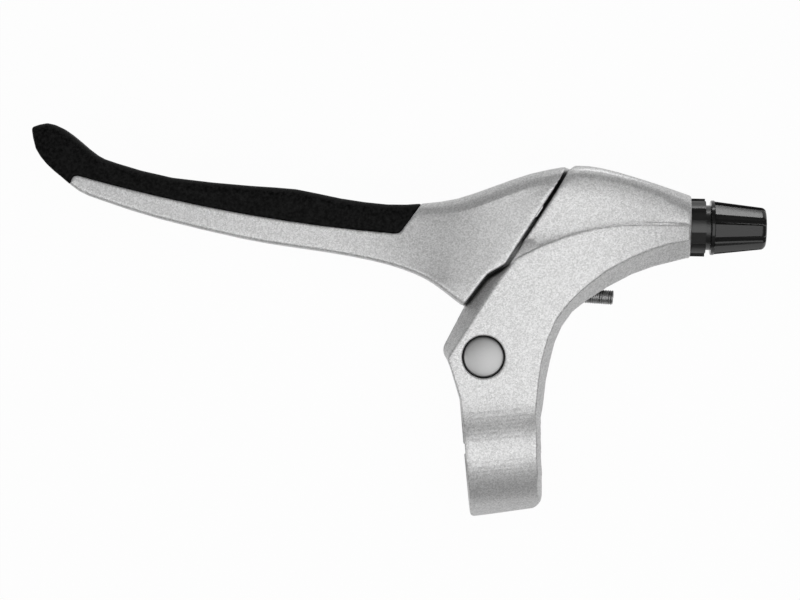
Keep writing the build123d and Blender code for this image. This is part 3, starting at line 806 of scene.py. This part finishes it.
def make_floor():
    places = [(-1, -1), (1, -1), (1, 1), (-1, 1)]
    corners = [(x * FLOOR_HALF, y * FLOOR_HALF, FLOOR_HEIGHT) for x, y in places]
    mesh = bpy.data.meshes.new("floor")
    mesh.from_pydata(corners, [], [(0, 1, 2, 3)])
    floor = bpy.data.objects.new("floor", mesh)
    bpy.context.scene.collection.objects.link(floor)
    material = bpy.data.materials.new("floor_paper")
    material.use_nodes = True
    tree = material.node_tree
    tree.nodes.clear()
    rays = node(tree, "ShaderNodeLightPath")
    either = node(tree, "ShaderNodeMath", operation="MAXIMUM")
    share = node(tree, "ShaderNodeMath", operation="MULTIPLY")
    share.inputs[1].default_value = FLOOR_WHITE_SHARE
    paper = node(tree, "ShaderNodeBsdfDiffuse")
    paper.inputs["Color"].default_value = (FLOOR_GREY, FLOOR_GREY, FLOOR_GREY, 1)
    glow = node(tree, "ShaderNodeEmission")
    glow.inputs["Strength"].default_value = 1.0
    mixed = node(tree, "ShaderNodeMixShader")
    out = node(tree, "ShaderNodeOutputMaterial")
    link = tree.links.new
    link(rays.outputs["Is Camera Ray"], either.inputs[0])
    link(rays.outputs["Is Glossy Ray"], either.inputs[1])
    link(either.outputs[0], share.inputs[0])
    link(share.outputs[0], mixed.inputs["Fac"])
    link(paper.outputs["BSDF"], mixed.inputs[1])
    link(glow.outputs["Emission"], mixed.inputs[2])
    link(mixed.outputs["Shader"], out.inputs["Surface"])
    mesh.materials.append(material)
    return floor


floor = make_floor()
print(floor.name, "at", round(FLOOR_HEIGHT / MM, 2), "mm")

# %% [markdown]
# The room is a plain studio with a pale sheet hung at the far side and a darker room behind the
# photographer. Rounded silver edges mirror both, which gives the dark line inside each bright rim. Two
# ramps over the height hold the tones of the far and the near half, and the direction blends from one to
# the other.

# %% Room
ROOM_TONES = {
    "near": ((0.0, 0.08), (0.35, 0.2), (0.7, 0.6), (0.9, 0.9), (1.0, 0.8)),
    "far": ((0.0, 0.9), (0.2, 0.7), (0.38, 0.12), (0.6, 0.08), (0.75, 0.22), (0.9, 0.5), (1.0, 0.8)),
}
ROOM_STRENGTH = 0.42


def color_socket(sockets, name):
    """The colour socket of a Mix node, which has sockets of the same name for other kinds of value."""
    return next(item for item in sockets if item.name == name and item.type == "RGBA")


def make_room():
    world = bpy.data.worlds.new("studio")
    bpy.context.scene.world = world
    world.use_nodes = True
    tree = world.node_tree
    background = tree.nodes["Background"]
    place = node(tree, "ShaderNodeTexCoord")
    split = node(tree, "ShaderNodeSeparateXYZ")
    side = node(tree, "ShaderNodeMapRange", interpolation_type="SMOOTHSTEP")
    side.inputs["From Min"].default_value = 0.0
    side.inputs["From Max"].default_value = 0.5
    both = node(tree, "ShaderNodeMix", data_type="RGBA")
    link = tree.links.new
    link(place.outputs["Generated"], split.inputs[0])
    for name, socket in (("near", "A"), ("far", "B")):
        ramp = node(tree, "ShaderNodeValToRGB", name=name)
        tones = ramp.color_ramp
        points = ROOM_TONES[name]
        for element, (position, value) in zip(tones.elements, (points[0], points[-1])):
            element.position = position
            element.color = (value, value, value, 1)
        for position, value in points[1:-1]:
            tones.elements.new(position).color = (value, value, value, 1)
        link(split.outputs["Z"], ramp.inputs["Fac"])
        link(ramp.outputs["Color"], color_socket(both.inputs, socket))
    link(split.outputs["Y"], side.inputs["Value"])
    link(side.outputs["Result"], both.inputs["Factor"])
    link(color_socket(both.outputs, "Result"), background.inputs["Color"])
    background.inputs["Strength"].default_value = ROOM_STRENGTH
    return world


room = make_room()
print("room:", room.name)

# %% [markdown]
# Three soft lamps: a wide one overhead, a little to the adjuster's side, a narrower one over the blade, and
# a low strip at the far side, which the knob's upper rib mirrors.

# %% Lamps
LAMPS = {
    "overhead": {"place": (0.08, -0.03, 0.4), "size": (0.38, 0.36), "power": 0.74},
    "blade_side": {"place": (-0.27, -0.04, 0.4), "size": (0.2, 0.34), "power": 0.34},
    "front": {"place": (0.28, 0.8, 0.05), "size": (0.42, 0.14), "power": 1.3},
}


def soft_lamp(name, aim, place, size, power):
    data = bpy.data.lights.new(name, "AREA")
    data.shape = "ELLIPSE"
    data.size, data.size_y = size
    data.energy = power
    lamp = bpy.data.objects.new(name, data)
    lamp.location = place
    lamp.rotation_mode = "QUATERNION"
    lamp.rotation_quaternion = (Vector(aim) - Vector(place)).to_track_quat("-Z", "Y")
    bpy.context.scene.collection.objects.link(lamp)


middle = (cad_low + cad_high) / 2
for name, settings in LAMPS.items():
    soft_lamp(name, middle, **settings)
print("lamps:", ", ".join(LAMPS))

# %% [markdown]
# The photograph looks straight down on the lever with a long lens, and the bar runs uphill to the right by
# five degrees. A pixel is 0.22 mm there, which sets how far away the camera stands.

# %% Camera
PIXEL = 0.22 * MM
FRAME_WIDTH = 800
LENS = 200.0
SENSOR = 36.0
ROLL = math.radians(-5)
FRAME_CENTRE = Vector((-19.52, 34.39, 5.0)) * MM
camera_data = bpy.data.cameras.new("camera")
camera_data.lens = LENS
camera_data.sensor_width = SENSOR
camera_data.clip_start = 0.01
camera = bpy.data.objects.new("camera", camera_data)
distance = FRAME_WIDTH * PIXEL * LENS / SENSOR
camera.location = FRAME_CENTRE + Vector((0, 0, distance))
camera.rotation_euler = (0, 0, ROLL)
bpy.context.scene.collection.objects.link(camera)
bpy.context.scene.camera = camera
bpy.context.scene.view_settings.view_transform = "Standard"
print("camera stands", round(distance, 3), "m above the lever")
